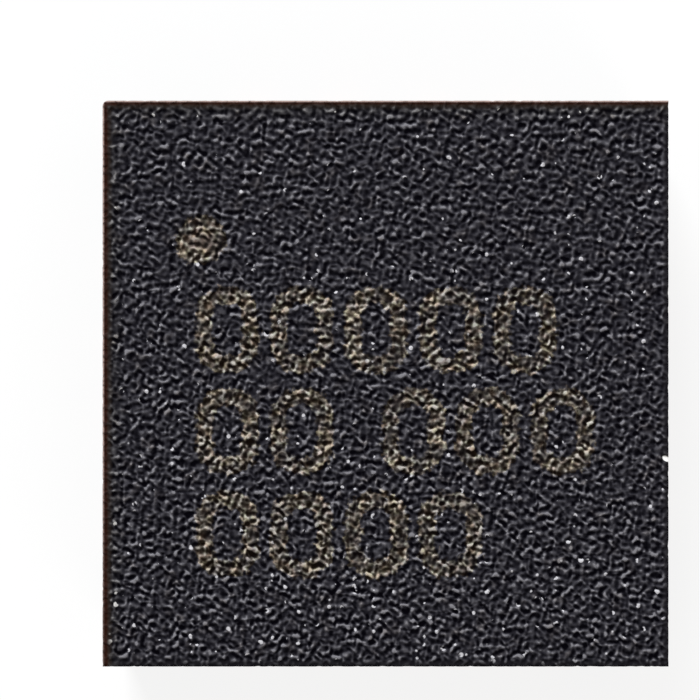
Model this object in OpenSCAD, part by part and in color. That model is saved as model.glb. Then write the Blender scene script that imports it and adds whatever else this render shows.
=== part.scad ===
// Sixteen-lead flat no-lead package, 3 x 3 mm, 0.5 mm pitch, wire bonded and sawn from a moulded strip.
// Millimetres. Z is up and the lead feet stand on Z = 0. Seen from above, lead 1 is on the -X side next to
// the +Y corner, and the leads are numbered anticlockwise from there.

/* [Package body] */
// Length of the moulded body along X
body_l = 3.00; // [2.90:0.05:4.00]
// Width of the moulded body along Y
body_w = 3.00; // [2.90:0.05:4.00]
// Height of the top face above the seating plane
body_h = 0.90; // [0.75:0.05:1.20]
// Gap between the mould compound and the seating plane
standoff = 0.02; // [0.01:0.005:0.05]

/* [Laser dot at lead 1] */
// Diameter of the dot
dot_d = 0.26; // [0.16:0.02:0.40]
// Depth that the laser takes off the top face
dot_depth = 0.01; // [0.005:0.005:0.03]
// Distance of the dot's centre from the -X side
dot_from_side = 0.52; // [0.35:0.01:0.80]
// Distance of the dot's centre from the +Y side
dot_from_end = 0.74; // [0.35:0.01:0.90]

/* [Leadframe] */
// Thickness of the copper sheet
sheet_t = 0.20; // [0.15:0.01:0.25]
// Height to which the underside is half etched away
etch_h = 0.10; // [0.06:0.01:0.13]
// Leads along each side of the body
leads_per_side = 4; // [2:1:4]
// Distance between the centres of two leads
pitch = 0.50; // [0.42:0.01:0.52]

/* [Lead foot] */
// Length of the foot from the sawn side
foot_l = 0.39; // [0.32:0.01:0.44]
// Width of the foot at its belly
foot_w = 0.255; // [0.20:0.005:0.28]
// Width of the foot where the saw cut it
foot_cut_w = 0.21; // [0.15:0.005:0.25]
// Distance of the belly from the sawn side
belly_x = 0.20; // [0.14:0.01:0.24]
// Distance of the belly from the sawn side, on the outer flank of the last lead on each side
end_belly_x = 0.12; // [0.08:0.01:0.20]
// How far the tip of the last lead on each side leans towards the middle of that side
end_lean = 0.06; // [0.00:0.005:0.08]

/* [Lead finger] */
// Reach of the half etched finger past the foot
finger_reach = 0.08; // [0.04:0.01:0.10]
// Width of the lip that the finger adds to each side of the foot
finger_lip = 0.02; // [0.01:0.005:0.04]

/* [Exposed pad] */
// Length of the exposed pad along X
pad_l = 1.68; // [1.40:0.02:1.72]
// Width of the exposed pad along Y
pad_w = 1.68; // [1.40:0.02:1.72]
// Corner radius of the exposed pad
pad_r = 0.06; // [0.02:0.01:0.12]
// Corner cut that marks lead 1 on the exposed pad
pad_key = 0.24; // [0.12:0.02:0.36]
// Width of the half etched rim round the exposed pad
pad_rim = 0.04; // [0.02:0.01:0.06]
// Width of the bars that tie the pad to the body's corners
tie_w = 0.16; // [0.10:0.01:0.20]

/* [Silicon die] */
// Length of the die along X
die_l = 1.20; // [1.00:0.05:1.30]
// Width of the die along Y
die_w = 1.10; // [1.00:0.05:1.30]
// Thickness of the die
die_t = 0.22; // [0.15:0.01:0.28]
// Thickness of the glue under the die
glue_t = 0.02; // [0.01:0.005:0.04]
// Width that the glue flows out past the die
glue_flow = 0.05; // [0.02:0.01:0.08]
// Height to which the glue climbs the die
glue_climb = 0.06; // [0.03:0.01:0.10]
// Side of the square windows over the bond sites
window_a = 0.07; // [0.06:0.005:0.09]
// Depth of a window in the die's top coat
window_depth = 0.004; // [0.003:0.001:0.006]
// Distance of the window centres from the die's edge
window_inset = 0.07; // [0.055:0.005:0.10]
// Distance between the centres of two windows
window_pitch = 0.22; // [0.12:0.01:0.24]

/* [Bond wires] */
// Diameter of the wire
wire_d = 0.025; // [0.018:0.001:0.032]
// Diameter of the flattened ball on the die
ball_d = 0.058; // [0.045:0.001:0.060]
// Height of the flattened ball
ball_h = 0.014; // [0.010:0.001:0.020]
// Height of the cone between the ball and the wire
neck_h = 0.012; // [0.008:0.001:0.020]
// Height of the loop's top above the die
loop_h = 0.13; // [0.10:0.01:0.16]
// Radius of the loop's bend
loop_r = 0.04; // [0.03:0.005:0.06]
// Distance of the stitch bond from the sawn side
stitch_x = 0.33; // [0.26:0.01:0.34]
// Diameter of the stitch bond
stitch_d = 0.046; // [0.036:0.002:0.060]
// Height of the stitch bond
stitch_h = 0.008; // [0.005:0.001:0.012]

/* [Hidden] */
$fn = 48;
lead_count = 4 * leads_per_side;
function numbered(name, i) = str(name, i < 10 ? "0" : "", i);

mould_colour = [0.17, 0.17, 0.19];
tin_colour = [0.72, 0.69, 0.67];
die_colour = [0.42, 0.44, 0.50];
glue_colour = [0.62, 0.62, 0.60];
wire_colour = [0.86, 0.66, 0.30];

// Levels above the seating plane
glue_z = sheet_t;
die_z = glue_z + glue_t;
die_top = die_z + die_t;
bond_z = die_top - window_depth;

// Belly and end of the finger, which covers the foot with a lip all round
finger_l = foot_l + finger_reach;
finger_w = foot_w + 2 * finger_lip;

// Steps along an etched outline: degrees for each chord of a corner, and chords for each stretch of a lead
arc_step = 8;
swell_steps = 4;
tip_steps = 8;

// How far a cutting shape runs past the face that it opens
cut_over = 0.10;

// Outline with rounded corners. Each corner is [x, y, radius], anticlockwise, and a radius gives way
// where two of them would need more than the edge between them.
function turn_at(c, i) =
    let (n = len(c), p = c[(i + n - 1) % n], q = c[i], r = c[(i + 1) % n])
    let (a = atan2(q.y - p.y, q.x - p.x), b = atan2(r.y - q.y, r.x - q.x))
    (b - a + 540) % 360 - 180;
function edge_after(c, i) =
    let (q = c[i], r = c[(i + 1) % len(c)])
    norm([r.x - q.x, r.y - q.y]);
function trims(c) = [for (i = [0:len(c) - 1]) c[i][2] * abs(tan(turn_at(c, i) / 2))];
function share(edge, a, b) = a + b > edge ? edge / (a + b) : 1;
function rounded_outline(c) =
    let (n = len(c), t = trims(c))
    [for (i = [0:n - 1])
        let (before = (i + n - 1) % n, after = (i + 1) % n, turn = turn_at(c, i))
        let (fit = min(share(edge_after(c, before), t[before], t[i]), share(edge_after(c, i), t[i], t[after])))
        let (radius = c[i][2] * fit, trim = t[i] * fit)
        let (heading = atan2(c[i].y - c[before].y, c[i].x - c[before].x))
        let (start = [c[i].x - trim * cos(heading), c[i].y - trim * sin(heading)])
        let (side = turn > 0 ? 90 : -90, steps = radius > 0 ? ceil(abs(turn) / arc_step) : 0)
        let (centre = [start.x + radius * cos(heading + side), start.y + radius * sin(heading + side)])
        each radius > 0
            ? [for (k = [0:steps])
                let (bearing = heading - side + turn * k / steps)
                [centre.x + radius * cos(bearing), centre.y + radius * sin(bearing)]]
            : [[c[i].x, c[i].y]]
    ];

// One flank of a lead seen from above, from the sawn side at X = 0 inwards: it swells up to its belly,
// then runs round a quarter of an ellipse to the tip, which lies at [l, tip_y].
function lead_flank(l, w, belly, tip_y) = concat(
    [for (k = [0:swell_steps])
        [belly * k / swell_steps, foot_cut_w / 2 + (w - foot_cut_w) / 2 * sin(90 * k / swell_steps)]],
    [for (k = [1:tip_steps])
        [belly + (l - belly) * sin(90 * k / tip_steps), tip_y + (w / 2 - tip_y) * cos(90 * k / tip_steps)]]
);

// Outline of a lead. On the last lead of a side the +Y flank turns in early and the tip leans away from it,
// which leaves the lead clear of the tie bar.
function lead_outline(l, w, last, over) =
    let (lean = last ? end_lean : 0)
    let (left = lead_flank(l, w, last ? end_belly_x : belly_x, -lean), right = lead_flank(l, w, belly_x, lean))
    concat(
        [for (p = right) [p.x, -p.y]],
        [for (k = [len(left) - 2:-1:0]) left[k]],
        over > 0 ? [[-over, foot_cut_w / 2], [-over, -foot_cut_w / 2]] : []
    );

// Side of the body that lead i is on, from 0 at -X anticlockwise, and its place along that side
function side_of(i) = floor((i - 1) / leads_per_side);
function step_of(i) = (i - 1) % leads_per_side;
function half_depth(i) = (side_of(i) % 2 == 0 ? body_l : body_w) / 2;
function along(i, spacing) = ((leads_per_side - 1) / 2 - step_of(i)) * spacing;

// Puts a lead that is drawn from X = 0 inwards at its place on the body
module at_lead(i) {
    rotate([0, 0, 90 * side_of(i)])
        translate([-half_depth(i), along(i, pitch), 0])
            children();
}

// One lead: a foot through the whole sheet and a half etched finger that locks it into the compound
module lead(i, over = 0) {
    first = step_of(i) == 0;
    last = step_of(i) == leads_per_side - 1;
    color(tin_colour)
        at_lead(i)
            mirror([0, last && !first ? 1 : 0, 0])
                union() {
                    linear_extrude(height = sheet_t)
                        polygon(lead_outline(foot_l, foot_w, first || last, over));
                    translate([0, 0, etch_h])
                        linear_extrude(height = sheet_t - etch_h)
                            polygon(lead_outline(finger_l, finger_w, first || last, over));
                }
}

// Corners of a rectangle about the origin, with the corner next to lead 1 cut off where key is above zero
function plate_corners(l, w, r, key) = concat(
    [[-l / 2, -w / 2, r], [l / 2, -w / 2, r], [l / 2, w / 2, r]],
    key > 0 ? [[-l / 2 + key, w / 2, r], [-l / 2, w / 2 - key, r]] : [[-l / 2, w / 2, r]]
);

module plate(l, w, r, key, t) {
    linear_extrude(height = t)
        polygon(rounded_outline(plate_corners(l, w, r, key)));
}

// The four bars from the pad to the body's corners, which the saw cut flush with the sides
module tie_bars(over) {
    bearing = atan2(body_w / 2 - pad_w / 4, body_l / 2 - pad_l / 4);
    reach = norm([body_l, body_w]) / 2 + 2 * cut_over;
    intersection() {
        for (x = [0, 1], y = [0, 1])
            mirror([x, 0, 0])
                mirror([0, y, 0])
                    translate([pad_l / 4, pad_w / 4, 0])
                        rotate([0, 0, bearing])
                            translate([0, -tie_w / 2, 0])
                                cube([reach, tie_w, sheet_t - etch_h]);
        translate([-body_l / 2 - over, -body_w / 2 - over, 0])
            cube([body_l + 2 * over, body_w + 2 * over, sheet_t]);
    }
}

// The pad under the die: exposed below, with a half etched rim and the tie bars in the compound
module exposed_pad(over = 0) {
    color(tin_colour)
        union() {
            plate(pad_l, pad_w, pad_r, pad_key, sheet_t);
            translate([0, 0, etch_h]) {
                plate(pad_l + 2 * pad_rim, pad_w + 2 * pad_rim, pad_r + pad_rim,
                    pad_key + pad_rim * (2 - sqrt(2)), sheet_t - etch_h);
                tie_bars(over);
            }
        }
}

// Silver filled glue, squeezed out round the die and drawn a little way up its sides
module die_attach() {
    color(glue_colour)
        difference() {
            hull() {
                translate([0, 0, glue_z])
                    plate(die_l + 2 * glue_flow, die_w + 2 * glue_flow, glue_flow, 0, glue_t / 2);
                translate([-die_l / 2, -die_w / 2, glue_z])
                    cube([die_l, die_w, glue_climb]);
            }
            translate([-die_l / 2, -die_w / 2, die_z])
                cube([die_l, die_w, die_t]);
        }
}

// Centre of bond site i on the die, next to the side that its lead is on
function site(i) =
    let (s = side_of(i), out = (s % 2 == 0 ? die_l : die_w) / 2 - window_inset, a = along(i, window_pitch))
    [
        -out * cos(90 * s) - a * sin(90 * s),
        -out * sin(90 * s) + a * cos(90 * s)
    ];

// Centre of the stitch bond on lead i
function stitch(i) =
    let (s = side_of(i), out = half_depth(i) - stitch_x, a = along(i, pitch))
    [
        -out * cos(90 * s) - a * sin(90 * s),
        -out * sin(90 * s) + a * cos(90 * s)
    ];

module silicon_die() {
    color(die_colour)
        difference() {
            translate([-die_l / 2, -die_w / 2, die_z])
                cube([die_l, die_w, die_t]);
            for (i = [1:lead_count])
                translate([site(i).x, site(i).y, bond_z + window_depth])
                    cube([window_a, window_a, 2 * window_depth], center = true);
        }
}

// One wire: ball and neck on the die, a bend over the loop's top, and a straight run down to the lead.
// The run is the line from the stitch that touches the circle of the bend.
module bond_wire(i) {
    way = stitch(i) - site(i);
    bend_z = die_top + loop_h - loop_r - wire_d / 2;
    flat = norm(way) - loop_r;
    drop = bend_z - sheet_t;
    reach = norm([flat, drop]);
    slope = 90 - acos(loop_r / reach) + atan2(drop, flat);
    run = sqrt(reach * reach - loop_r * loop_r);
    color(wire_colour)
        translate([site(i).x, site(i).y, 0])
            rotate([0, 0, atan2(way.y, way.x)])
                union() {
                    translate([0, 0, bond_z])
                        cylinder(d = ball_d, h = ball_h);
                    translate([0, 0, bond_z + ball_h])
                        cylinder(d1 = ball_d * 0.75, d2 = wire_d, h = neck_h);
                    translate([0, 0, bond_z + ball_h])
                        cylinder(d = wire_d, h = bend_z - bond_z - ball_h);
                    translate([loop_r, 0, bend_z])
                        rotate([90, 0, 0])
                            rotate([0, 0, 90 - slope])
                                rotate_extrude(angle = 90 + slope)
                                    translate([loop_r, 0])
                                        circle(d = wire_d);
                    intersection() {
                        translate([loop_r, 0, bend_z])
                            rotate([0, slope, 0])
                                translate([0, 0, loop_r])
                                    rotate([0, 90, 0])
                                        cylinder(d = wire_d, h = run + wire_d / tan(slope));
                        translate([0, -wire_d, sheet_t])
                            cube([norm(way) + wire_d / sin(slope), 2 * wire_d, body_h]);
                    }
                    translate([norm(way), 0, sheet_t])
                        cylinder(d = stitch_d, h = stitch_h);
                }
}

// Mould compound round everything else, with the laser dot in its top face
module mould_body() {
    color(mould_colour)
        difference() {
            translate([-body_l / 2, -body_w / 2, standoff])
                cube([body_l, body_w, body_h - standoff]);
            exposed_pad(cut_over);
            for (i = [1:lead_count])
                lead(i, cut_over);
            die_attach();
            silicon_die();
            for (i = [1:lead_count])
                bond_wire(i);
            translate([dot_from_side - body_l / 2, body_w / 2 - dot_from_end, body_h - dot_depth])
                cylinder(d = dot_d, h = 2 * dot_depth);
        }
}

mould_body();
exposed_pad();
die_attach();
silicon_die();
for (i = [1:lead_count]) {
    lead(i);
    bond_wire(i);
}
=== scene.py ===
import math

import bmesh
import bpy
from mathutils import Matrix, Vector


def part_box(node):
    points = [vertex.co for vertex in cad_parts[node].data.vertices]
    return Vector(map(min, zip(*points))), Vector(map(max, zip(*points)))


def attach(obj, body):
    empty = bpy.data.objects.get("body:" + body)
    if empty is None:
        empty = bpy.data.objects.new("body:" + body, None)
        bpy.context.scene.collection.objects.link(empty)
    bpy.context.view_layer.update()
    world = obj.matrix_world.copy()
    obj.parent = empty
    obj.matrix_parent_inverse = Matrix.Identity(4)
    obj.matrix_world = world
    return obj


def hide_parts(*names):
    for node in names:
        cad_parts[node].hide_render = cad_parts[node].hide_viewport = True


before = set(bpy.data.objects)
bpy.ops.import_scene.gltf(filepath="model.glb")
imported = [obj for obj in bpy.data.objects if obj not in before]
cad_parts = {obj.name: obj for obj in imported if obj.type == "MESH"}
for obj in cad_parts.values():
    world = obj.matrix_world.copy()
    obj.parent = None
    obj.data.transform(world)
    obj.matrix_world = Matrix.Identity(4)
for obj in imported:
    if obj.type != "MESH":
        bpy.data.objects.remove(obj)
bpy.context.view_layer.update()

scene = bpy.context.scene
mm = 0.001  # pieces are shaped in millimetres, and shrunk to metres when they are done
mergeGap = 1e-5  # mm, joins the loose triangles of a copied node
touching = mergeGap * 10  # mm, nearer than this counts as on a plane

bodyLow, bodyHigh = (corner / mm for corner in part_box("mould_body"))
halfLength, halfWidth, topZ, undersideZ = bodyHigh.x, bodyHigh.y, bodyHigh.z, bodyLow.z
leadNames = [name for name in sorted(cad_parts) if name.startswith("lead_")]
wireNames = [name for name in sorted(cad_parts) if name.startswith("bond_wire_")]


# picking and shaping

def pickOnly(piece):
    bpy.ops.object.select_all(action="DESELECT")
    piece.select_set(True)
    bpy.context.view_layer.objects.active = piece


def editing(on):
    bpy.ops.object.mode_set(mode="EDIT" if on else "OBJECT")


def pickParts(piece, kind, wanted):
    # kind is "verts", "edges" or "faces" of the piece in edit mode
    bpy.ops.mesh.select_mode(type={"verts": "VERT", "edges": "EDGE", "faces": "FACE"}[kind])
    bpy.ops.mesh.select_all(action="DESELECT")
    shape = bmesh.from_edit_mesh(piece.data)
    for part in getattr(shape, kind):
        if wanted(part):
            part.select_set(True)
    bmesh.update_edit_mesh(piece.data)


def onSawnSide(corner):
    return max(abs(corner.co.x) - halfLength, abs(corner.co.y) - halfWidth) > -touching


def turnOutwards():
    bpy.ops.mesh.select_all(action="SELECT")
    bpy.ops.mesh.normals_make_consistent(inside=False)


def copyOfNode(node, name):
    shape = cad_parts[node].data.copy()
    shape.materials.clear()
    shape.transform(Matrix.Scale(1 / mm, 4))
    piece = bpy.data.objects.new(name, shape)
    scene.collection.objects.link(piece)
    pickOnly(piece)
    bpy.ops.mesh.customdata_custom_splitnormals_clear()
    editing(True)
    bpy.ops.mesh.select_all(action="SELECT")
    bpy.ops.mesh.remove_doubles(threshold=mergeGap)
    editing(False)
    return piece


def handOver(piece, material, slot, *nodes):
    # shrinks the finished mesh to metres and puts the piece in its nodes' place
    piece.data.transform(Matrix.Scale(mm, 4))
    piece.data.materials.clear()
    piece.data.materials.append(material)
    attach(piece, "root")
    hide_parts(*nodes)


# nodes that shader and geometry trees share

def put(tree, kind, settings=None, **sockets):
    node = tree.nodes.new(kind)
    for key, value in (settings or {}).items():
        setattr(node, key, value)
    for key, value in sockets.items():
        feed(tree, node.inputs[key.replace("_", " ")], value)
    return node


def feed(tree, socket, value):
    if isinstance(value, bpy.types.NodeSocket):
        tree.links.new(value, socket)
    else:
        socket.default_value = value


def calc(tree, operation, *values, clamp=False):
    node = put(tree, "ShaderNodeMath", {"operation": operation, "use_clamp": clamp})
    for socket, value in zip(node.inputs, values):
        feed(tree, socket, value)
    return node.outputs[0]


def plus(tree, first, second):
    return calc(tree, "ADD", first, second)


def minus(tree, first, second):
    return calc(tree, "SUBTRACT", first, second)


def times(tree, first, second):
    return calc(tree, "MULTIPLY", first, second)


def timesPlus(tree, first, second, added):
    return calc(tree, "MULTIPLY_ADD", first, second, added)


def hypotenuse(tree, first, second):
    return calc(tree, "SQRT", timesPlus(tree, first, first, times(tree, second, second)))


def calcVector(tree, operation, *values):
    node = put(tree, "ShaderNodeVectorMath", {"operation": operation})
    for socket, value in zip(node.inputs, values):
        feed(tree, socket, value)
    return node.outputs["Value" if operation in ("LENGTH", "DOT_PRODUCT") else "Vector"]


def vectorOf(tree, x, y, z):
    return put(tree, "ShaderNodeCombineXYZ", X=x, Y=y, Z=z).outputs[0]


def partsOf(tree, place):
    return put(tree, "ShaderNodeSeparateXYZ", Vector=place).outputs


def stretched(tree, place, factors):
    return calcVector(tree, "MULTIPLY", place, factors)


def fade(tree, value, start, end, low=0.0, high=1.0):
    # low up to start, high from end on, and a smooth step between
    node = put(tree, "ShaderNodeMapRange", {"interpolation_type": "SMOOTHSTEP"}, Value=value,
               From_Min=start, From_Max=end, To_Min=low, To_Max=high)
    return node.outputs[0]


def noise(tree, place, scale, detail=0.0, roughness=0.5):
    node = put(tree, "ShaderNodeTexNoise", Vector=place, Scale=scale, Detail=detail, Roughness=roughness)
    return node.outputs[0]


def flatNoise(tree, place, scale, detail=0.0):
    # a value and a colour that are the same all the way down
    flat = {"noise_dimensions": "2D"}
    return put(tree, "ShaderNodeTexNoise", flat, Vector=place, Scale=scale, Detail=detail).outputs


def patches(tree, place, perMm, detail, start, end, low=0.0, high=1.0):
    # blotches of noise, low where it is under start and high where it is over end
    return fade(tree, noise(tree, place, perMm, detail), start, end, low, high)


def blendColour(tree, factor, first, second, mode="MIX"):
    node = put(tree, "ShaderNodeMix", {"data_type": "RGBA", "blend_type": mode, "clamp_factor": True})
    for socket, value in zip((node.inputs[0], node.inputs[6], node.inputs[7]), (factor, first, second)):
        feed(tree, socket, value)
    return node.outputs[2]


def paint(red, green, blue):
    # a colour as a picture shows it, 0 to 255, as the linear value that a socket takes
    shown = [channel / 255 for channel in (red, green, blue)]
    return (*[c / 12.92 if c <= 0.04045 else ((c + 0.055) / 1.055) ** 2.4 for c in shown], 1.0)


def ramp(tree, value, stops):
    # each stop is a position and its red, green and blue as a picture shows them
    node = put(tree, "ShaderNodeValToRGB", Fac=value)
    marks = node.color_ramp.elements
    for number, (position, *shown) in enumerate(stops):
        mark = marks[number] if number < 2 else marks.new(position)
        mark.position = position
        mark.color = paint(*shown)
    return node.outputs[0]


# relief of the top face, the same in the mesh and in its material

topGrain = {
    "worms": (33.0, 37.0, 0.0),   # per mm, ridges run a little longer along X
    "crumbs": (46.0, 50.0, 0.0),
    "span": (1.4, -1.4),          # mm, from high to low on the face
    "crumbShare": (0.30, 0.44),   # high and low on the face
    "sway": 0.008,                # mm, how far the pattern wanders
    "swayPerMm": 20.0,
    "contrast": 2.1,
    "paintedShadeOffset": (0.008, -0.024, 0.0),  # mm, from a ridge to the painted shade line beside it
    "paintedShadeShare": 0.50,
    "boldPerMm": 13.0,            # patches where the ridges stand out more
    "boldFrom": (0.35, 0.70),
    "boldness": (0.63, 1.20),
    "strength": (0.91, 1.13),     # of the ridges, high and low on the face
    "finePerMm": 95.0,
}


def grainHeight(tree, place):
    # near 0 in a pit, 0.5 on the slopes and near 1 on the highest ridges
    wander = calcVector(tree, "SUBTRACT", flatNoise(tree, place, topGrain["swayPerMm"])[1], (0.5, 0.5, 0.5))
    swayed = calcVector(tree, "ADD", place, stretched(tree, wander, [topGrain["sway"] * 2] * 3))
    worms = flatNoise(tree, stretched(tree, swayed, topGrain["worms"]), 1.0)[0]
    crumbs = flatNoise(tree, stretched(tree, swayed, topGrain["crumbs"]), 1.0)[0]
    share = fade(tree, partsOf(tree, place)[1], *topGrain["span"], *topGrain["crumbShare"])
    both = timesPlus(tree, minus(tree, crumbs, worms), share, worms)
    contrast = topGrain["contrast"]
    return calc(tree, "MULTIPLY_ADD", both, contrast, 0.5 - contrast / 2, clamp=True)


# shader groups

speckShape = {
    "smallest": 0.4,    # share of the given size
    "spread": 0.8,
    "softEdge": 0.7,    # share of the size that is full
}
sawCut = {
    "along": 3.0,       # per mm, so that the scratches run long
    "deepAlong": 1.2,
    "deepFineness": 36.0,
    "deepShift": 7.0,
    "deepShare": 0.6,
}
sawnCorner = 0.016      # mm, how round the rims run at a corner


def newGroup(name, inputs, outputs):
    # Place is a vector, and every other socket a number
    tree = bpy.data.node_groups.new(name, "ShaderNodeTree")
    kinds = {"Place": "NodeSocketVector"}
    for label, value in inputs.items():
        kind = kinds.get(label, "NodeSocketFloat")
        socket = tree.interface.new_socket(name=label, in_out="INPUT", socket_type=kind)
        if value is not None:
            socket.default_value = value
    for label in outputs:
        kind = kinds.get(label, "NodeSocketFloat")
        tree.interface.new_socket(name=label, in_out="OUTPUT", socket_type=kind)
    return tree, tree.nodes.new("NodeGroupInput").outputs, tree.nodes.new("NodeGroupOutput").inputs


def use(tree, group, **sockets):
    node = put(tree, "ShaderNodeGroup", {"node_tree": group}, **sockets)
    return node.outputs


def makeMillimetres():
    tree, _, out = newGroup("millimetres", {}, ["Place"])
    spot = put(tree, "ShaderNodeTexCoord")
    scaled = put(tree, "ShaderNodeMapping", Vector=spot.outputs["Object"], Scale=(1 / mm, 1 / mm, 1 / mm))
    feed(tree, out["Place"], scaled.outputs[0])
    return tree


def roundedGap(tree, gapX, gapY):
    # how far a point is inside two sides that meet in a rounded corner
    overX = calc(tree, "MAXIMUM", minus(tree, sawnCorner, gapX), 0.0)
    overY = calc(tree, "MAXIMUM", minus(tree, sawnCorner, gapY), 0.0)
    inside = calc(tree, "MAXIMUM", minus(tree, calc(tree, "MINIMUM", gapX, gapY), sawnCorner), 0.0)
    return plus(tree, minus(tree, sawnCorner, hypotenuse(tree, overX, overY)), inside)


def makeSideGap():
    # how far a point is inside all four sawn sides in mm, and inside the left and the top one,
    # plain and with a ragged edge
    names = ["Gap", "Ragged Gap", "Left And Top", "Ragged Left And Top"]
    tree, given, out = newGroup("sideGap", {"Place": None, "Ragged": 0.0, "Ragged Per Mm": 30.0}, names)
    parts = partsOf(tree, given["Place"])
    gapX = minus(tree, halfLength, calc(tree, "ABSOLUTE", parts[0]))
    gapY = minus(tree, halfWidth, calc(tree, "ABSOLUTE", parts[1]))
    leftGap = plus(tree, parts[0], halfLength)
    topGap = minus(tree, halfWidth, parts[1])
    flutter = minus(tree, noise(tree, given["Place"], given["Ragged Per Mm"], 2.0), 0.5)
    for name, firstGap, secondGap in (("Gap", gapX, gapY), ("Left And Top", leftGap, topGap)):
        gap = roundedGap(tree, firstGap, secondGap)
        feed(tree, out[name], gap)
        feed(tree, out["Ragged " + name], timesPlus(tree, flutter, given["Ragged"], gap))
    return tree


def makeSpecks():
    # small round grains cut or bedded in a surface
    sizes = {"Place": None, "Per Mm": 40.0, "Size": 0.25, "Share": 0.4}
    tree, given, out = newGroup("specks", sizes, ["Mask", "Shade"])
    cells = put(tree, "ShaderNodeTexVoronoi", Vector=given["Place"], Scale=given["Per Mm"])
    shade = put(tree, "ShaderNodeSeparateColor", Color=cells.outputs["Color"]).outputs
    size = plus(tree, times(tree, shade[1], speckShape["spread"]), speckShape["smallest"])
    size = times(tree, given["Size"], size)
    disc = fade(tree, cells.outputs["Distance"], size, times(tree, size, speckShape["softEdge"]))
    there = calc(tree, "LESS_THAN", shade[0], given["Share"])
    feed(tree, out["Mask"], times(tree, disc, there))
    feed(tree, out["Shade"], shade[2])
    return tree


def makeSawMarks():
    # scratches that the blade left on the sides, nearly level
    tree, given, out = newGroup("sawMarks", {"Place": None, "Slant": 0.12, "Fineness": 160.0}, ["Height"])
    parts = partsOf(tree, given["Place"])
    around = plus(tree, parts[0], parts[1])
    level = timesPlus(tree, around, given["Slant"], parts[2])
    fineZ = times(tree, level, given["Fineness"])
    deepZ = times(tree, level, sawCut["deepFineness"])
    fine = vectorOf(tree, times(tree, around, sawCut["along"]), 0.0, fineZ)
    deep = vectorOf(tree, times(tree, around, sawCut["deepAlong"]), sawCut["deepShift"], deepZ)
    fine = times(tree, noise(tree, fine, 1.0, 2.0), 1.0 - sawCut["deepShare"])
    feed(tree, out["Height"], timesPlus(tree, noise(tree, deep, 1.0, 1.0), sawCut["deepShare"], fine))
    return tree


def makeTopGrain():
    # Height is the relief, and Shade is the epoxy's tone with painted light in it: painted shade
    # in the pits and along one side of each ridge, and painted highlights on the ridges
    tree, given, out = newGroup("topGrain", {"Place": None}, ["Height", "Shade", "Fine"])
    place, share = given["Place"], topGrain["paintedShadeShare"]
    height = grainHeight(tree, place)
    shadowSideHeight = grainHeight(tree, calcVector(tree, "ADD", place, topGrain["paintedShadeOffset"]))
    bold = flatNoise(tree, place, topGrain["boldPerMm"], 1.0)[0]
    bold = fade(tree, bold, *topGrain["boldFrom"], *topGrain["boldness"])
    bold = times(tree, bold, fade(tree, partsOf(tree, place)[1], *topGrain["span"], *topGrain["strength"]))
    # painted shade: the height a little way off is taken away, so each ridge gets a dark line on one side,
    # as light from one side would give
    paintedLightSwing = minus(tree, height, timesPlus(tree, shadowSideHeight, share, 0.5 - share / 2))
    feed(tree, out["Height"], height)
    feed(tree, out["Shade"], calc(tree, "MULTIPLY_ADD", paintedLightSwing, bold, 0.5, clamp=True))
    feed(tree, out["Fine"], noise(tree, place, topGrain["finePerMm"], 2.0))
    return tree


millimetres = makeMillimetres()
sideGap = makeSideGap()
specks = makeSpecks()
sawMarks = makeSawMarks()
grainGroup = makeTopGrain()
print("shared node groups are ready")


def scatter(tree, place, perMm, size, share):
    return use(tree, specks, Place=place, Per_Mm=perMm, Size=size, Share=share)


def newMaterial(name, **shaderValues):
    material = bpy.data.materials.new(name)
    material.use_nodes = True
    tree = material.node_tree
    shader = tree.nodes["Principled BSDF"]
    for key, value in shaderValues.items():
        shader.inputs[key.replace("_", " ")].default_value = value
    return material, tree, shader


def fillShader(tree, shader, colour, rough, relief):
    # relief is in millimetres
    bump = put(tree, "ShaderNodeBump", Strength=1.0, Distance=mm, Height=relief)
    feed(tree, shader.inputs["Base Color"], colour)
    feed(tree, shader.inputs["Roughness"], rough)
    feed(tree, shader.inputs["Normal"], bump.outputs[0])


# a small chip in the right upper edge, where light filler shows

chip = {
    "at": (1.487, -0.398, 0.0),
    "heading": (0.85, -0.53),     # along it, towards the side
    "half": (0.022, 0.0135),      # mm, half its length and half its width
    "depth": 0.006,               # mm
    "slope": (1.4, 0.5),          # from, to, where 1 is its edge and 0 its middle
    "colour": paint(250, 250, 248),
    "colourEdge": (1.15, 0.80),
}


def chipReach(tree, place):
    # 0 in the middle of the chip and 1 at its edge
    (alongX, alongY), (halfLong, halfWide) = chip["heading"], chip["half"]
    offset = calcVector(tree, "SUBTRACT", place, chip["at"])
    along = calcVector(tree, "DOT_PRODUCT", offset, (alongX / halfLong, alongY / halfLong, 0.0))
    across = calcVector(tree, "DOT_PRODUCT", offset, (-alongY / halfWide, alongX / halfWide, 0.0))
    return hypotenuse(tree, along, across)


# filled black epoxy: its top face
# patches are given as: per mm, detail, and the noise values where they start and are full
# rims are given as: from, to (mm), and how strong they are at both

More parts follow.
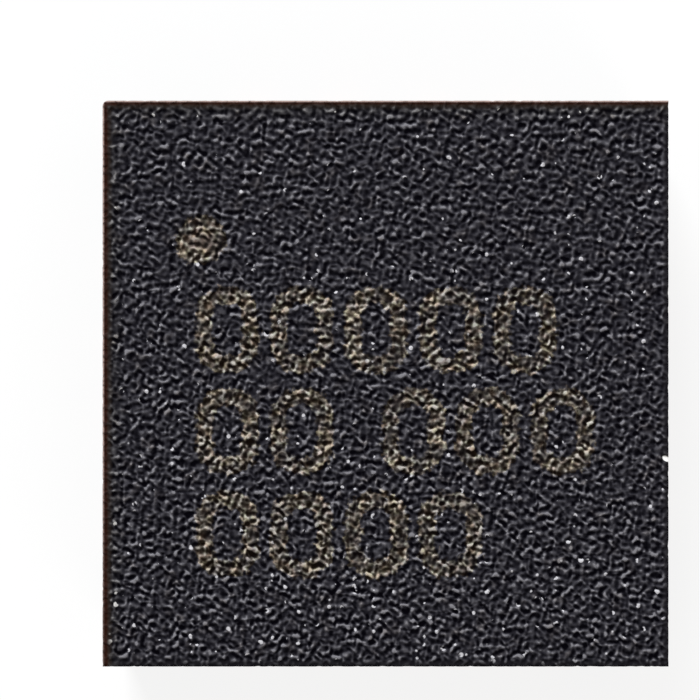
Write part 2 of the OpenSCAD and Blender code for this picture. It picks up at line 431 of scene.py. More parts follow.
topLook = {
    # the grain's tones hold painted light: near black in the pits as painted shade, light on the ridges as
    # painted highlight
    "levels": [(0.00, 2, 1, 5), (0.17, 9, 8, 13), (0.36, 26, 25, 31), (0.50, 40, 39, 45),
               (0.63, 56, 55, 61), (0.76, 74, 73, 79), (0.88, 95, 94, 100), (1.00, 133, 132, 138)],
    "brown": (1.0, 0.86, 0.68, 1.0),
    "brownPatches": (11.0, 1.0, 0.56, 0.70),
    "brownCast": 0.3,
    # painted glints: light filler crumbs coloured as bright as a highlight
    "paintedGlint": paint(212, 211, 216),
    "glintGrains": (30.0, 0.42),   # per mm, size
    "glintSpan": (0.4, -1.4),      # mm, from high to low on the face
    "glintShare": (0.085, 0.17),   # of the crumbs, high and low on the face
    "glintFrom": (0.45, 0.65),     # height of the grain
}
markLook = {
    # the burnt tones carry the same painted shade and highlights as the plain grain
    "levels": [(0.00, 12, 6, 3), (0.17, 21, 15, 11), (0.36, 41, 35, 30), (0.50, 63, 58, 52),
               (0.63, 97, 91, 84), (0.76, 130, 124, 116), (0.90, 164, 158, 150), (1.00, 204, 199, 191)],
    "tanCast": (1.0, 0.92, 0.80, 1.0),
    "tanPatches": (18.0, 1.0, 0.42, 0.62),
    "redCast": (1.0, 0.91, 0.91, 1.0),
    "redPatches": (30.0, 1.0, 0.54, 0.64),
    "oliveCast": (0.94, 1.0, 0.91, 1.0),
    "olivePatches": (30.0, 1.0, 0.46, 0.36),
    "takenPatches": (12.0, 2.0, 0.37, 0.60),
    "strength": (0.45, 1.0),    # where the laser took least and most
    "shake": 0.085,             # mm, how ragged a stroke's edge is
    "shakePerMm": 34.0,
    "edge": (0.010, -0.006),    # mm, outside and inside the stroke's outline
    "outlineAt": 0.012,         # mm inside the edge, where the laser lingered
    "outlineGain": 0.12,
    "flarePatches": (9.0, 1.0, 0.52, 0.66),   # lighter spots
    "flareGain": 0.15,
    "dotFrom": (-0.045, -0.070),  # mm, only the dot reaches that far inside
    "dotGain": 0.16,            # the dot was burnt longer than the strokes
    "dotCast": (1.0, 0.905, 0.86, 1.0),
    "matte": 0.65,              # share of the gloss that the laser took
}
rimLook = {
    "calm": paint(43, 41, 45),
    "calmRim": (0.040, 0.012, 0.0, 0.75),
    "leftTopEnd": (0.04, 0.12),   # mm, where the left and top rims' own looks end
    # painted shade along the right and low rims, the sides away from the light
    "paintedShade": paint(14, 13, 18),
    # side or colour, from, to (mm), strength
    "paintedShadeRims": (("low", 0.014, 0.008, 1.0), ("low", 0.058, 0.006, 0.75), ("right", 0.036, 0.006, 0.70)),
    "cast": (1.0, 0.99, 0.88, 1.0),
    "castRim": (0.13, 0.04, 0.0, 0.8),
    "leftReach": (0.08, 0.05, 0.0, 0.005),   # the left rim goes a little further in than the top one
    "leftTopRims": ((paint(46, 38, 33), 0.054, 0.022, 0.9), (paint(44, 23, 16), 0.029, 0.015, 1.0)),
    # painted highlight where the left and top edges catch the light
    "line": paint(160, 139, 132),
    "highlightRim": (0.0105, 0.0070),
    "highlightFade": (-1.2, -0.2, 0.35, 1.0),     # mm up the face, and how much of the painted highlight is left there
}


def topColour(tree, place, parts, shade, height):
    # painted shade in the pits and painted highlights on the grey ridges, which break up into
    # painted glints on light filler crumbs, more of them low on the face, and a faint brownish cast
    look = topLook
    body = ramp(tree, shade, look["levels"])
    patch = patches(tree, place, *look["brownPatches"], 0.0, look["brownCast"])
    body = blendColour(tree, patch, body, look["brown"], "MULTIPLY")
    share = fade(tree, parts[1], *look["glintSpan"], *look["glintShare"])
    paintedGlints = scatter(tree, place, *look["glintGrains"], share)["Mask"]
    paintedGlints = times(tree, paintedGlints, fade(tree, height, *look["glintFrom"]))
    return blendColour(tree, paintedGlints, body, look["paintedGlint"])


def addMarks(tree, place, shade, body):
    # inside a laser stroke the same ridges, with their painted shade and highlights, are burnt tan, most of
    # all along its outline and in the dot
    look = markLook
    stroke = put(tree, "ShaderNodeAttribute", {"attribute_name": "strokeGap"}).outputs["Fac"]
    shaky = minus(tree, noise(tree, place, look["shakePerMm"], 2.0), 0.5)
    shaky = timesPlus(tree, shaky, look["shake"], stroke)
    fromOutline = calc(tree, "ABSOLUTE", plus(tree, shaky, look["outlineAt"]))
    outline = fade(tree, fromOutline, look["outlineAt"], 0.0, 0.0, look["outlineGain"])
    inDot = fade(tree, stroke, *look["dotFrom"])
    flare = patches(tree, place, *look["flarePatches"], 0.0, look["flareGain"])
    gain = plus(tree, outline, timesPlus(tree, inDot, look["dotGain"], flare))
    burnt = ramp(tree, calc(tree, "ADD", shade, gain, clamp=True), look["levels"])
    burnt = blendColour(tree, inDot, burnt, look["dotCast"], "MULTIPLY")
    for tint in ("tan", "red", "olive"):
        patch = patches(tree, place, *look[tint + "Patches"])
        burnt = blendColour(tree, patch, burnt, look[tint + "Cast"], "MULTIPLY")
    taken = patches(tree, place, *look["takenPatches"], *look["strength"])
    burn = times(tree, fade(tree, shaky, *look["edge"]), taken)
    return blendColour(tree, burn, body, burnt), burn


def addRims(tree, parts, gap, body):
    # a painted highlight line, a red brown line and an olive band at the left and top, and elsewhere a calm
    # rim with painted shade along the right and low sides
    look = rimLook
    leftTop = gap["Left And Top"]
    body = blendColour(tree, fade(tree, gap["Ragged Gap"], *look["calmRim"]), body, look["calm"])
    sides = {"low": plus(tree, parts[1], halfWidth), "right": minus(tree, halfLength, parts[0])}
    # painted shade on the right and low rims
    paintedShade = 0.0
    for side, start, end, strength in look["paintedShadeRims"]:
        paintedShade = calc(tree, "MAXIMUM", paintedShade, fade(tree, sides[side], start, end, 0.0, strength))
    paintedShade = times(tree, paintedShade, fade(tree, leftTop, *look["leftTopEnd"]))
    body = blendColour(tree, paintedShade, body, look["paintedShade"])
    body = blendColour(tree, fade(tree, leftTop, *look["castRim"]), body, look["cast"], "MULTIPLY")
    reach = fade(tree, plus(tree, parts[0], halfLength), *look["leftReach"])
    ragged = minus(tree, gap["Ragged Left And Top"], reach)
    for colour, start, end, strength in look["leftTopRims"]:
        body = blendColour(tree, fade(tree, ragged, start, end, 0.0, strength), body, colour)
    # painted highlight along the left and top edges, fading lower down the face
    line = times(tree, fade(tree, leftTop, *look["highlightRim"]), fade(tree, parts[1], *look["highlightFade"]))
    return blendColour(tree, line, body, look["line"])


# the sawn sides and the underside of the epoxy

sideLook = {
    "tones": (paint(50, 49, 54), paint(70, 69, 74)),
    "sawTone": (0.35, 0.65),       # height of the saw marks
    "grain": paint(122, 120, 124),
    "grains": ((110.0, 0.50, 0.55, 0.25), (55.0, 0.46, 0.40, 0.45), (30.0, 0.42, 0.20, 0.6)),
    "grainShade": (0.7, 0.3),      # share of a grain's strength that varies, and that doesn't
    # painted shade in the pits
    "paintedPitShade": paint(20, 20, 23),
    "pits": (34.0, 0.40, 0.05),    # per mm, size, share, as with the grains, whose last is their strength
    "pitShift": (7.3, 2.9, 4.1),
    "pitStrength": 0.8,
}
undersideLook = {
    "tones": (paint(44, 44, 51), paint(51, 50, 57)),
    "clouds": (7.0, 3.0, 0.3, 0.7),
    "arc": paint(30, 30, 35),
    "arcs": ((1.50, 1.50, 0.265), (1.40, 0.75, 0.41)),   # mm: centre from both middle lines, radius
    "arcWander": 0.05,             # mm
    "arcWanderPerMm": 2.5,
    "arcLine": (0.016, 0.004),
    "arcPatches": (1.9, 1.0, 0.36, 0.58),
    "arcFrom": (0.85, 1.0),        # mm from both middle lines
    "arcStrength": 0.55,
    "speck": paint(74, 73, 80),
    "specks": (22.0, 0.34, 0.03),
    "speckStrength": 0.5,
    "rim": paint(40, 32, 31),
    "rimBand": (0.032, 0.012, 0.0, 0.8),
}


def sideColour(tree, place, saw):
    # sawn through: cut filler grains of three sizes, and pits that lost theirs, painted dark as shade in the
    # hollows
    look = sideLook
    varied, steady = look["grainShade"]
    side = blendColour(tree, fade(tree, saw, *look["sawTone"]), *look["tones"])
    for perMm, size, share, strength in look["grains"]:
        cut = scatter(tree, place, perMm, size, share)
        shown = timesPlus(tree, cut["Shade"], varied * strength, steady * strength)
        side = blendColour(tree, times(tree, cut["Mask"], shown), side, look["grain"])
    shifted = calcVector(tree, "ADD", place, look["pitShift"])
    pits = scatter(tree, shifted, *look["pits"])["Mask"]
    return blendColour(tree, times(tree, pits, look["pitStrength"]), side, look["paintedPitShade"]), pits


def tapeArcs(tree, place):
    # faint arcs round the corners and the end feet, where the moulding tape bulged
    look = undersideLook
    parts = partsOf(tree, calcVector(tree, "ABSOLUTE", place))
    far = calc(tree, "MAXIMUM", parts[0], parts[1])
    near = calc(tree, "MINIMUM", parts[0], parts[1])
    wander = minus(tree, noise(tree, place, look["arcWanderPerMm"], 1.0), 0.5)
    lines = 0.0
    for centreFar, centreNear, radius in look["arcs"]:
        reach = hypotenuse(tree, minus(tree, far, centreFar), minus(tree, near, centreNear))
        off = minus(tree, timesPlus(tree, wander, look["arcWander"], reach), radius)
        line = fade(tree, calc(tree, "ABSOLUTE", off), *look["arcLine"])
        lines = calc(tree, "MAXIMUM", lines, line)
    lines = times(tree, lines, patches(tree, place, *look["arcPatches"]))
    return times(tree, lines, fade(tree, near, *look["arcFrom"]))


def undersideColour(tree, place, gap):
    # smooth and bluish, with a few light specks, faint arcs and a dark brownish rim
    look = undersideLook
    below = blendColour(tree, patches(tree, place, *look["clouds"]), *look["tones"])
    below = blendColour(tree, times(tree, tapeArcs(tree, place), look["arcStrength"]), below, look["arc"])
    grains = scatter(tree, place, *look["specks"])["Mask"]
    below = blendColour(tree, times(tree, grains, look["speckStrength"]), below, look["speck"])
    return blendColour(tree, fade(tree, gap["Ragged Gap"], *look["rimBand"]), below, look["rim"])


# the whole epoxy

epoxyLook = {
    "specular": 0.02,
    "coatRoughness": 0.36,
    "ragged": 0.010,               # mm, of the rims
    "raggedPerMm": 24.0,
    "wallEdge": (0.005, 0.008),    # mm inside the sides, where the walls' look ends
    "wallTop": (0.009, 0.028),     # mm under the top face, up to which the walls look sawn there
    "wallBlend": 0.003,            # mm
    "undersideBlend": (0.004, 0.001),
    "ridgeRough": (0.2, 0.9, 0.75, 0.42),   # heights of the grain, and how rough it is there
    "plainRough": (2.2, 3.0, 0.3, 0.7, 0.48, 0.60),
    "ridgeGloss": (0.40, 0.80, 0.0, 0.16),
    "plainGloss": 0.25,
    "grainBump": 0.010,            # mm
    "fineBump": 0.0005,
    "sawBump": 0.004,
}


def makeEpoxy():
    look = epoxyLook
    material, tree, shader = newMaterial("blackEpoxy", Specular_IOR_Level=look["specular"],
                                         Coat_Roughness=look["coatRoughness"])
    place = use(tree, millimetres)["Place"]
    parts = partsOf(tree, place)
    gap = use(tree, sideGap, Place=place, Ragged=look["ragged"], Ragged_Per_Mm=look["raggedPerMm"])
    atEdge, furtherIn = look["wallTop"]
    topStart = fade(tree, gap["Gap"], *look["wallEdge"], topZ - atEdge, topZ - furtherIn)
    onTop = fade(tree, minus(tree, parts[2], topStart), -look["wallBlend"], 0.0)
    notTop = minus(tree, 1.0, onTop)
    onUnderside = fade(tree, parts[2], *(undersideZ + over for over in look["undersideBlend"]))
    onSide = times(tree, notTop, minus(tree, 1.0, onUnderside))
    grain = use(tree, grainGroup, Place=place)
    height, shade = grain["Height"], grain["Shade"]
    saw = use(tree, sawMarks, Place=place)["Height"]

    top = topColour(tree, place, parts, shade, height)
    top, burn = addMarks(tree, place, shade, top)
    top = addRims(tree, parts, gap, top)
    top = blendColour(tree, fade(tree, chipReach(tree, place), *chip["colourEdge"]), top, chip["colour"])
    side, pits = sideColour(tree, place, saw)
    colour = blendColour(tree, onTop, side, top)
    colour = blendColour(tree, onUnderside, colour, undersideColour(tree, place, gap))

    rough = times(tree, patches(tree, place, *look["plainRough"]), notTop)
    rough = plus(tree, times(tree, fade(tree, height, *look["ridgeRough"]), onTop), rough)
    gloss = times(tree, fade(tree, height, *look["ridgeGloss"]), onTop)
    gloss = times(tree, gloss, timesPlus(tree, burn, -markLook["matte"], 1.0))
    feed(tree, shader.inputs["Coat Weight"], timesPlus(tree, notTop, look["plainGloss"], gloss))

    relief = timesPlus(tree, grain["Fine"], look["fineBump"], times(tree, height, look["grainBump"]))
    sideRelief = times(tree, minus(tree, saw, pits), look["sawBump"])
    relief = timesPlus(tree, sideRelief, onSide, times(tree, relief, onTop))
    fillShader(tree, shader, colour, rough, relief)
    return material


blackEpoxy = makeEpoxy()


# tin plated copper

platingLook = {
    "tin": (paint(157, 152, 146), paint(183, 175, 169)),
    "mottle": (34.0, 4.0, 0.65),      # per mm, detail, roughness
    "mottleTone": (0.35, 0.65),
    "tinStreak": paint(126, 121, 117),
    "streaks": (95.0, 20.0, 60.0),    # per mm, short across the rolling direction
    "streakTone": (0.42, 0.28, 0.0, 0.8),
    "paintedTipShade": paint(158, 160, 152),
    "tipAt": 0.30,                    # mm from the sawn side, where painted shade starts as a foot curves down towards its tip
    "tipBlend": 0.05,
    "tipStrength": 0.55,
    "footEnd": (0.15, 0.14),          # mm past the tip's start, the pad lies beyond
    "copper": (paint(122, 70, 52), paint(198, 134, 104)),
    "copperTone": (0.38, 0.62),
    "smear": (0.6, 0.4),              # shares of saw marks and mottling
    "slant": 0.05,
    "fineness": 220.0,
    "burr": paint(232, 186, 156),
    "burrs": (0.56, 0.64),
    "burrsPerMm": 60.0,
    "burrRim": (0.0, 0.006),
    "bareWidth": 0.034,               # mm, bare copper next to the saw cut
    "bareBlend": 0.004,
    "ragged": 0.045,
    "raggedPerMm": 22.0,
    "rough": (0.3, 0.7, 0.68, 0.52),
    "streakBump": 0.0012,             # mm
    "sawBump": 0.004,
}


def makePlating():
    look = platingLook
    material, tree, shader = newMaterial("tinPlatedCopper", Metallic=1.0)
    place = use(tree, millimetres)["Place"]
    gap = use(tree, sideGap, Place=place, Ragged=look["ragged"], Ragged_Per_Mm=look["raggedPerMm"])
    width, blend = look["bareWidth"], look["bareBlend"]
    bare = fade(tree, gap["Ragged Gap"], width + blend, width - blend)

    # matte tin over rolled copper: soft mottling and short dark streaks along the rolling direction
    mottle = noise(tree, place, *look["mottle"])
    tin = blendColour(tree, fade(tree, mottle, *look["mottleTone"]), *look["tin"])
    streaks = noise(tree, stretched(tree, place, look["streaks"]), 1.0, 1.0)
    tin = blendColour(tree, fade(tree, streaks, *look["streakTone"]), tin, look["tinStreak"])
    # painted shade where the foot curves down towards its tip
    tipAt, tipBlend = look["tipAt"], look["tipBlend"]
    onFoot = fade(tree, gap["Gap"], *(tipAt + past for past in look["footEnd"]))
    tip = fade(tree, gap["Gap"], tipAt - tipBlend, tipAt + tipBlend, 0.0, look["tipStrength"])
    tin = blendColour(tree, times(tree, tip, onFoot), tin, look["paintedTipShade"])

    # sawn copper, smeared along the cut, with bright burrs where the plate ends
    saw = use(tree, sawMarks, Place=place, Slant=look["slant"], Fineness=look["fineness"])["Height"]
    sawShare, mottleShare = look["smear"]
    smear = timesPlus(tree, saw, sawShare, times(tree, mottle, mottleShare))
    copper = blendColour(tree, fade(tree, smear, *look["copperTone"]), *look["copper"])
    crumbs = noise(tree, place, look["burrsPerMm"], 2.0)
    burrs = times(tree, fade(tree, crumbs, *look["burrs"]), fade(tree, gap["Gap"], *look["burrRim"]))
    copper = blendColour(tree, burrs, copper, look["burr"])

    colour = blendColour(tree, bare, tin, copper)
    plateRelief = times(tree, streaks, look["streakBump"])
    cutRelief = times(tree, plus(tree, saw, crumbs), look["sawBump"])
    relief = timesPlus(tree, cutRelief, bare, plateRelief)
    fillShader(tree, shader, colour, fade(tree, mottle, *look["rough"]), relief)
    return material


platedCopper = makePlating()


# what the block holds: die, glue and wires

siliconLook = {
    "metallic": 0.35,
    "topBlend": (0.006, 0.002),       # mm under the die's top
    "blocks": (1.0, 1.3, 0.0),        # stretch of the circuit blocks
    "blocksPerMm": 7.0,
    "blockShuffle": 0.8,
    "blockColours": (paint(96, 84, 128), paint(70, 112, 118)),
    "tracksPerMm": 30.0,
    "trackGap": 0.035,
    "trackSize": (4.5, 0.22),
    "trackSteps": {"offset": 0.37, "offset_frequency": 3, "squash": 0.5, "squash_frequency": 4},
    "track": paint(196, 176, 130),
    "trackStrength": 0.6,
    "bondSite": paint(206, 204, 200),
    "bondSiteDepth": (0.0015, 0.0030),
    "edge": (paint(92, 94, 104), paint(132, 134, 142)),
    "slant": 0.02,
    "fineness": 300.0,
    "sawTone": (0.35, 0.65),
    "rough": (0.3, 0.7, 0.22, 0.42),
    "bump": 0.0006,                   # mm
}
glueLook = {
    "metallic": 0.4,
    "colours": (paint(138, 136, 130), paint(212, 210, 204)),
    "flakes": (70.0, 0.5, 0.7),       # per mm, size, share
    "rough": (0.25, 0.4),             # share that follows the flakes, and the least
    "bumpPerMm": 40.0,
    "bump": 0.003,                    # mm
}
goldLook = {
    "colours": (paint(214, 160, 74), paint(240, 196, 110)),
    "drawnPerMm": 55.0,
    "drawnTone": (0.35, 0.65),
    "rough": (0.3, 0.7, 0.22, 0.34),
    "bump": 0.0008,                   # mm
}


def makeTracks(tree, parts, turned):
    # metal tracks, along X in half of the blocks and along Y in the others
    look = siliconLook
    heading = put(tree, "ShaderNodeMix", {"data_type": "VECTOR"})
    feed(tree, heading.inputs[0], calc(tree, "GREATER_THAN", turned, 0.5))
    feed(tree, heading.inputs[4], vectorOf(tree, parts[0], parts[1], 0.0))
    feed(tree, heading.inputs[5], vectorOf(tree, parts[1], parts[0], 0.0))
    long, wide = look["trackSize"]
    tracks = put(tree, "ShaderNodeTexBrick", look["trackSteps"], Vector=heading.outputs[1],
                 Scale=look["tracksPerMm"], Mortar_Size=look["trackGap"], Brick_Width=long, Row_Height=wide)
    return tracks.outputs["Fac"]


def makeSilicon():
    look = siliconLook
    material, tree, shader = newMaterial("siliconDie", Metallic=look["metallic"])
    place = use(tree, millimetres)["Place"]
    parts = partsOf(tree, place)
    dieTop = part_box("silicon_die")[1].z / mm
    onTop = fade(tree, parts[2], *(dieTop - under for under in look["topBlend"]))
    blocks = put(tree, "ShaderNodeTexVoronoi", {"distance": "CHEBYCHEV"}, Scale=look["blocksPerMm"],
                 Vector=stretched(tree, place, look["blocks"]), Randomness=look["blockShuffle"])
    shade, turned = put(tree, "ShaderNodeSeparateColor", Color=blocks.outputs["Color"]).outputs[:2]
    tracks = makeTracks(tree, parts, turned)
    circuits = blendColour(tree, shade, *look["blockColours"])
    circuits = blendColour(tree, times(tree, tracks, look["trackStrength"]), circuits, look["track"])
    bondSite = fade(tree, parts[2], *(dieTop - under for under in look["bondSiteDepth"]))
    circuits = blendColour(tree, bondSite, circuits, look["bondSite"])
    saw = use(tree, sawMarks, Place=place, Slant=look["slant"], Fineness=look["fineness"])["Height"]
    edge = blendColour(tree, fade(tree, saw, *look["sawTone"]), *look["edge"])
    colour = blendColour(tree, onTop, edge, circuits)
    fillShader(tree, shader, colour, fade(tree, saw, *look["rough"]), times(tree, tracks, look["bump"]))
    return material


def makeGlue():
    look = glueLook
    material, tree, shader = newMaterial("silverGlue", Metallic=look["metallic"])
    place = use(tree, millimetres)["Place"]
    flakes = scatter(tree, place, *look["flakes"])
    colour = blendColour(tree, times(tree, flakes["Mask"], flakes["Shade"]), *look["colours"])
    relief = times(tree, noise(tree, place, look["bumpPerMm"], 2.0), look["bump"])
    fillShader(tree, shader, colour, timesPlus(tree, flakes["Shade"], *look["rough"]), relief)
    return material


def makeGold():
    look = goldLook
    material, tree, shader = newMaterial("goldWire", Metallic=1.0)
    place = use(tree, millimetres)["Place"]
    drawn = noise(tree, place, look["drawnPerMm"], 2.0)
    colour = blendColour(tree, fade(tree, drawn, *look["drawnTone"]), *look["colours"])
    fillShader(tree, shader, colour, fade(tree, drawn, *look["rough"]), times(tree, drawn, look["bump"]))
    return material


siliconDie = makeSilicon()
silverGlue = makeGlue()
goldWire = makeGold()
print("materials are ready")


# moulded block

block = {
    "cells": 268,           # squares along each side of the fine top face
    "seam": 0.62,           # mm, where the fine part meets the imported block, above the wire loops
    "skirt": 0.20,          # mm, how far the fine part's walls run down
    "edgeRound": 0.007,     # mm
    "edgeSegments": 3,
    "smoothAngle": 50,      # degrees
    "grainDepth": 0.007,    # mm
    "calmRim": 0.045,       # mm, width of the rim where the grain fades out
    "calmLeast": 0.15,
    "sunkDown": 0.001,      # mm under the top face, down to which its relief moves it
    "nick": 0.004,          # mm, deepest nick in the upper edges
    "nicks": (26.0, 3.0, 0.6),   # per mm, detail, roughness
    "nickFrom": (0.48, 0.72),
    "wornDown": 0.021,      # mm under the top face, down to which its edges are nicked
    "nickReach": 0.010,     # mm inside the side
    "wornCorner": 0.032,    # mm, radius of the rounded corner next to lead 1
    "dotAt": (-0.98, 0.76),
    "dotRadius": 0.13,
    "dotDepth": 0.010,
    "dotSlope": 0.006,      # mm to both sides of its outline
    "markDepth": 0.003,
    "markSlope": 0.008,
    "markReach": 0.2,       # mm, how far from a stroke its distance is kept
    "markBelow": 0.05,      # mm under the top face, down to which it is kept
}
# rows of plain noughts, each with its height on the face and its places in steps of one pitch
marking = {
    "rows": [(0.285, (0, 1, 2, 3, 4)), (-0.253, (0, 1, 2.5, 3.5, 4.5)), (-0.800, (0, 1, 2, 3))],
    "firstX": -0.838,
    "pitch": 0.394,
    "size": (0.33, 0.45),
    "corner": 0.15,
    "stroke": 0.085,
}


def strokeGapAt(x, y):
    # distance from the nearest laser stroke in mm, below zero inside it
    dotX, dotY = block["dotAt"]
    nearest = math.hypot(x - dotX, y - dotY) - block["dotRadius"]
    halfStroke = marking["stroke"] / 2
    halfX, halfY = (side / 2 for side in marking["size"])
    corner, reach = marking["corner"], block["markReach"]
    for rowY, steps in marking["rows"]:
        overY = abs(y - rowY)
        if overY > halfY + reach:
            continue
        for step in steps:
            overX = abs(x - marking["firstX"] - step * marking["pitch"])
            if overX > halfX + reach:
                continue
            pastX, pastY = overX - (halfX - corner), overY - (halfY - corner)
            outline = math.hypot(max(pastX, 0.0), max(pastY, 0.0)) + min(max(pastX, pastY), 0.0) - corner
            nearest = min(nearest, abs(outline + halfStroke) - halfStroke)
    return min(nearest, reach)


def sinkOf(tree, place, gapX, gapY):
    # how far the top face lies lower: its grain, its dot, its laser strokes and the chip
    stroke = put(tree, "GeometryNodeInputNamedAttribute", {"data_type": "FLOAT"}, Name="strokeGap")
    calm = calc(tree, "MINIMUM", gapX, gapY)
    calm = fade(tree, calm, block["edgeRound"], block["calmRim"], block["calmLeast"])
    depth = times(tree, minus(tree, 1.0, grainHeight(tree, place)), block["grainDepth"])
    depth = times(tree, depth, calm)
    fromDot = calcVector(tree, "LENGTH", calcVector(tree, "SUBTRACT", place, (*block["dotAt"], topZ)))
    radius, slope = block["dotRadius"], block["dotSlope"]
    dot = fade(tree, fromDot, radius + slope, radius - slope, 0.0, block["dotDepth"] - block["markDepth"])
    slope = block["markSlope"]
    marks = fade(tree, stroke.outputs["Attribute"], slope, -slope, 0.0, block["markDepth"])
    chipped = fade(tree, chipReach(tree, place), *chip["slope"], 0.0, chip["depth"])
    return plus(tree, plus(tree, depth, chipped), plus(tree, dot, marks))


def wearOf(tree, place, parts, gapX, gapY):
    # nicks along the sawn upper edges, and one corner worn round, as a move inwards
    nick = noise(tree, place, *block["nicks"])
    nick = fade(tree, nick, *block["nickFrom"], 0.0, block["nick"])
    inwards = []
    for part, gap in zip(parts, (gapX, gapY)):
        amount = times(tree, fade(tree, gap, block["nickReach"], 0.0), nick)
        inwards.append(times(tree, amount, calc(tree, "SIGN", part)))
    radius = block["wornCorner"]
    pastX = calc(tree, "MINIMUM", plus(tree, parts[0], halfLength - radius), 0.0)
    pastY = calc(tree, "MAXIMUM", minus(tree, parts[1], halfWidth - radius), 0.0)
    past = vectorOf(tree, pastX, pastY, 0.0)
    reach = calcVector(tree, "LENGTH", past)
    over = calc(tree, "MAXIMUM", minus(tree, reach, radius), 0.0)
    over = calc(tree, "DIVIDE", over, calc(tree, "MAXIMUM", reach, radius))
    worn = put(tree, "ShaderNodeVectorMath", {"operation": "SCALE"}, Vector=past, Scale=over)
    inward = calcVector(tree, "ADD", vectorOf(tree, *inwards, 0.0), worn.outputs[0])
    return stretched(tree, inward, (-1.0, -1.0, -1.0))


def reliefModifier(piece):
    # moves the top face down and its edges in
    tree = bpy.data.node_groups.new("topRelief", "GeometryNodeTree")
    for side in ("INPUT", "OUTPUT"):
        tree.interface.new_socket(name="Geometry", in_out=side, socket_type="NodeSocketGeometry")
    given, out = tree.nodes.new("NodeGroupInput"), tree.nodes.new("NodeGroupOutput")
    place = tree.nodes.new("GeometryNodeInputPosition").outputs[0]
    parts = partsOf(tree, place)
    gapX = minus(tree, halfLength, calc(tree, "ABSOLUTE", parts[0]))
    gapY = minus(tree, halfWidth, calc(tree, "ABSOLUTE", parts[1]))
    down = vectorOf(tree, 0.0, 0.0, times(tree, sinkOf(tree, place, gapX, gapY), -1.0))
    inward = wearOf(tree, place, parts, gapX, gapY)
    shape = given.outputs[0]
    for level, offset in ((topZ - block["wornDown"], inward), (topZ - block["sunkDown"], down)):
        above = put(tree, "FunctionNodeCompare", {"data_type": "FLOAT", "operation": "GREATER_THAN"})
        feed(tree, above.inputs[0], parts[2])
        feed(tree, above.inputs[1], level)
        moved = put(tree, "GeometryNodeSetPosition", Geometry=shape, Selection=above.outputs[0],
                    Offset=offset)
        shape = moved.outputs[0]
    tree.links.new(shape, out.inputs[0])
    modifier = piece.modifiers.new("relief", "NODES")
    modifier.node_group = tree
    pickOnly(piece)
    bpy.ops.object.modifier_apply(modifier=modifier.name)


def makeFineTop():
    # the top face as a fine grid, with rounded edges and walls that hang down from it
    cells, edgeRound = block["cells"], block["edgeRound"]
    bpy.ops.object.select_all(action="DESELECT")
    bpy.ops.mesh.primitive_grid_add(x_subdivisions=cells, y_subdivisions=cells, size=2 * halfLength,
                                    location=(0, 0, topZ))
    fineTop = bpy.context.object
    bpy.ops.object.transform_apply(location=True, rotation=False, scale=False)
    editing(True)
    pickParts(fineTop, "edges", lambda edge: edge.is_boundary)
    for drop in (2 * edgeRound, block["skirt"] - 2 * edgeRound):
        bpy.ops.mesh.extrude_region_move(TRANSFORM_OT_translate={"value": (0, 0, -drop)})
    pickParts(fineTop, "edges", lambda edge: all(
        corner.co.z > topZ - touching and onSawnSide(corner) for corner in edge.verts))
    bpy.ops.mesh.bevel(offset=edgeRound, offset_type="OFFSET", segments=block["edgeSegments"],
                       profile=0.5, affect="EDGES")
    editing(False)
    return fineTop


def isLevelGap(edge):
    return edge.is_boundary and abs(edge.verts[0].co.z - edge.verts[1].co.z) < touching


def makeBlock():
    lower = copyOfNode("mould_body", "mould_block")
    editing(True)
    bpy.ops.mesh.select_all(action="SELECT")
    bpy.ops.mesh.bisect(plane_co=(0, 0, block["seam"]), plane_no=(0, 0, 1), clear_outer=True,
                        threshold=mergeGap)
    editing(False)
    fineTop = makeFineTop()
    pickOnly(lower)
    fineTop.select_set(True)
    bpy.ops.object.join()
    editing(True)
    for axis, half in ((0, halfLength), (1, halfWidth)):
        for side in (-half, half):
            pickParts(lower, "edges", lambda edge: isLevelGap(edge) and all(
                abs(corner.co[axis] - side) < touching for corner in edge.verts))
            bpy.ops.mesh.bridge_edge_loops()
    turnOutwards()
    editing(False)
    lowest = topZ - block["markBelow"]
    gaps = [strokeGapAt(corner.co.x, corner.co.y) if corner.co.z > lowest else block["markReach"]
            for corner in lower.data.vertices]
    stroke = lower.data.attributes.new("strokeGap", "FLOAT", "POINT")
    stroke.data.foreach_set("value", gaps)
    reliefModifier(lower)
    pickOnly(lower)
    bpy.ops.object.shade_smooth_by_angle(angle=math.radians(block["smoothAngle"]))
    handOver(lower, blackEpoxy, "mould", "mould_body")
    return lower


mouldBlock = makeBlock()
print("moulded block:", len(mouldBlock.data.polygons), "faces")


# leads and pad

plate = {
    "footRound": 0.012,   # mm, the etched and plated rim of what stands on the board
    "segments": 3,
    "flatAngle": 0.5,     # degrees, flatter edges than this are no edges
    "smoothAngle": 40,
}


def isFootRim(edge):
    # not where the saw cut through it
    standing = all(corner.co.z < touching for corner in edge.verts)
    return standing and not all(onSawnSide(corner) for corner in edge.verts)


def makePlated(node, name):
    piece = copyOfNode(node, name)
    editing(True)
    bpy.ops.mesh.select_all(action="SELECT")
    bpy.ops.mesh.dissolve_limited(angle_limit=math.radians(plate["flatAngle"]))
    pickParts(piece, "edges", isFootRim)
    bpy.ops.mesh.bevel(offset=plate["footRound"], offset_type="OFFSET", segments=plate["segments"],
                       profile=0.5, affect="EDGES", clamp_overlap=True)
    turnOutwards()
    editing(False)
    bpy.ops.object.shade_smooth_by_angle(angle=math.radians(plate["smoothAngle"]))
    handOver(piece, platedCopper, "plated_copper", node)


for number, name in enumerate(leadNames, 1):
    makePlated(name, f"plated_lead_{number:02d}")
makePlated("exposed_pad", "heat_pad")
print("leads and pad:", len(leadNames) + 1, "pieces")


def dress(node, material):
    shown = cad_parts[node]
    shown.data.materials.clear()
    shown.data.materials.append(material)


dress("silicon_die", siliconDie)
dress("die_attach", silverGlue)
for name in wireNames:
    dress(name, goldWire)
print("die, glue and wires are dressed")


# floor, light and camera

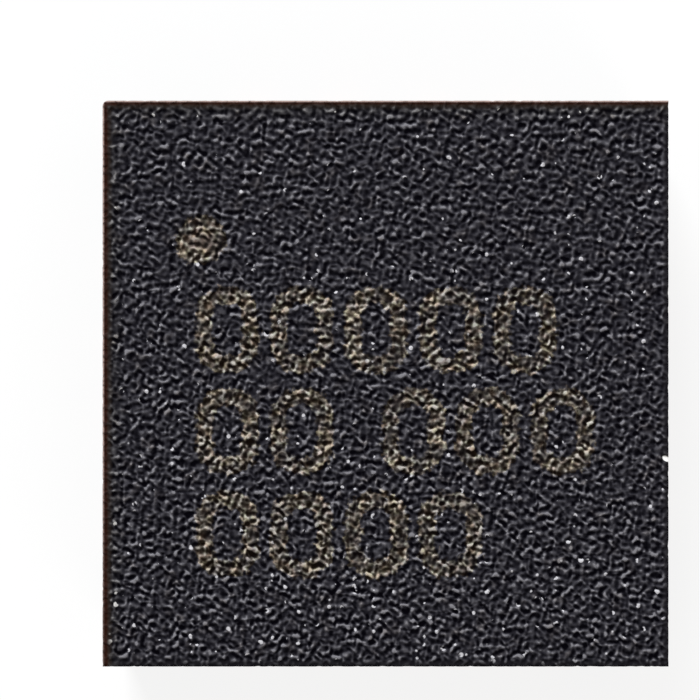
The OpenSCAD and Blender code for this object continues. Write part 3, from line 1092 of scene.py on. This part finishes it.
studio = {
    "floorSize": 120.0,   # mm
    "floorBelow": 0.0005,  # mm, so that the feet and the floor don't share a plane
    "floorColour": (0.20, 0.20, 0.20, 1.0),
    "floorRough": 0.9,
    "floorGlow": 0.82,    # what the camera sees on top of the lit colour
    "white": (1.0, 1.0, 1.0, 1.0),
    "worldLight": 0.34,
    "keyAt": (-12.0, 42.0, 27.0),
    "keySize": 18.0,
    "keyShare": 0.56,     # light on a level white surface, where 1 shows it as white
    "keyColour": (0.97, 0.985, 1.0),
    "fillAt": (18.0, -39.0, 30.0),
    "fillSize": 30.0,
    "fillShare": 0.14,
    "fillColour": (1.0, 0.93, 0.86),
    "cameraAt": (-0.1883, 0.1781, 10.30),   # mm from the middle of the top face
    "lens": 100.0,
    "sensor": 36.0,
    "nearest": 0.5,       # mm
    "furthest": 1000.0,
}


def seenDirectly(tree):
    # 1 for what the camera sees, also in a reflection or through glass, and 0 for what lights the object
    rays = put(tree, "ShaderNodeLightPath").outputs
    mirrored = calc(tree, "MAXIMUM", rays["Is Glossy Ray"], rays["Is Transmission Ray"])
    return calc(tree, "MAXIMUM", rays["Is Camera Ray"], mirrored)


def makeFloor():
    bpy.ops.object.select_all(action="DESELECT")
    floorZ = -studio["floorBelow"] * mm
    bpy.ops.mesh.primitive_plane_add(size=studio["floorSize"] * mm, location=(0, 0, floorZ))
    floor = bpy.context.object
    floor.name = "floor"
    material, tree, shader = newMaterial("paleFloor", Roughness=studio["floorRough"], Specular_IOR_Level=0.0,
                                         Base_Color=studio["floorColour"], Emission_Color=studio["white"])
    glow = times(tree, seenDirectly(tree), studio["floorGlow"])
    feed(tree, shader.inputs["Emission Strength"], glow)
    floor.data.materials.append(material)


def makeWorld():
    world = bpy.data.worlds.new("studio")
    scene.world = world
    world.use_nodes = True
    tree = world.node_tree
    light = studio["worldLight"]
    background = tree.nodes["Background"]
    background.inputs["Color"].default_value = studio["white"]
    feed(tree, background.inputs["Strength"], timesPlus(tree, seenDirectly(tree), 1.0 - light, light))


def makeLamp(kind):
    at, size, share = Vector(studio[kind + "At"]), studio[kind + "Size"], studio[kind + "Share"]
    lamp = bpy.data.lights.new(kind + "Light", "AREA")
    lamp.shape = "SQUARE"
    lamp.size = size * mm
    lamp.color = studio[kind + "Colour"]
    distance = (at - Vector((0, 0, topZ))).length * mm
    slant = at.normalized().z
    lamp.energy = share * math.pi ** 2 * distance ** 2 / slant
    holder = bpy.data.objects.new(kind + "Light", lamp)
    scene.collection.objects.link(holder)
    holder.location = at * mm
    holder.rotation_mode = "QUATERNION"
    holder.rotation_quaternion = (-at).to_track_quat("-Z", "Y")


def makeCamera():
    lens = bpy.data.cameras.new("photoView")
    lens.lens = studio["lens"]
    lens.sensor_width = studio["sensor"]
    lens.clip_start = studio["nearest"] * mm
    lens.clip_end = studio["furthest"] * mm
    camera = bpy.data.objects.new("photoView", lens)
    scene.collection.objects.link(camera)
    camera.location = (Vector((0, 0, topZ)) + Vector(studio["cameraAt"])) * mm
    scene.camera = camera


makeFloor()
makeWorld()
makeLamp("key")
makeLamp("fill")
makeCamera()
scene.view_settings.view_transform = "Standard"
print("studio is ready")
